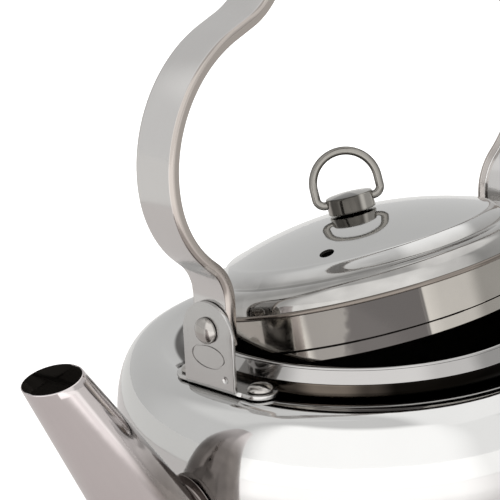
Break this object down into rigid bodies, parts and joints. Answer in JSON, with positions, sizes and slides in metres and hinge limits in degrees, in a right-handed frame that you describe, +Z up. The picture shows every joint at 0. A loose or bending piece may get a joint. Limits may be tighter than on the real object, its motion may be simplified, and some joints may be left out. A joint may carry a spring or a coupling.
{
  "type": "camping tea kettle",
  "caption": "Stainless steel camping kettle with a straight slanted spout, riveted ears, a swinging channel bail and a loose domed lid with a wire ring, set down ajar.",
  "frame": {"origin": "middle of the base, on the surface that the kettle stands on", "axes": "+Z up, the spout points along -X, the bail swings about X"},
  "size_m": [0.2106, 0.1502, 0.2197],
  "materials": {
    "polished_steel": "mirror polished stainless steel",
    "satin_steel": "satin stainless steel",
    "rivet_steel": "bright stainless steel",
    "plain_steel": "plain stainless steel",
    "ring_wire": "bright stainless steel wire"
  },
  "bodies": {
    "kettle": {"body_shell": "polished_steel", "base_pan": "plain_steel", "spout_tube": "polished_steel", "ear_front": "satin_steel", "ear_rear": "satin_steel", "ear_rivet_front_left": "rivet_steel", "ear_rivet_front_right": "rivet_steel", "ear_rivet_rear_left": "rivet_steel", "ear_rivet_rear_right": "rivet_steel", "pivot_rivet_front": "rivet_steel", "pivot_rivet_rear": "rivet_steel", "pivot_washer_front": "plain_steel", "pivot_washer_rear": "plain_steel"},
    "bail": {"bail": "satin_steel"},
    "lid": {"lid_shell": "polished_steel", "lid_skirt": "polished_steel", "lid_knob": "polished_steel", "knob_screw": "plain_steel", "knob_washer": "plain_steel"},
    "ring": {"knob_ring": "ring_wire"}
  },
  "joints": [
    {"name": "bail_swing", "type": "hinge", "parent": "kettle", "child": "bail", "pos_m": [0, 0, 0.1089], "axis": [1, 0, 0], "range_deg": [-90, 90]},
    {"name": "lid_tip", "type": "hinge", "parent": "kettle", "child": "lid", "pos_m": [-0.00782, 0.04462, 0.10724], "axis": [-0.985, -0.1726, 0], "range_deg": [-14.27, 45]},
    {"name": "ring_flip", "type": "hinge", "parent": "lid", "child": "ring", "pos_m": [-0.00076, 0.00433, 0.13021], "axis": [0.7163, -0.6689, 0.199], "range_deg": [-98, 98]}
  ]
}
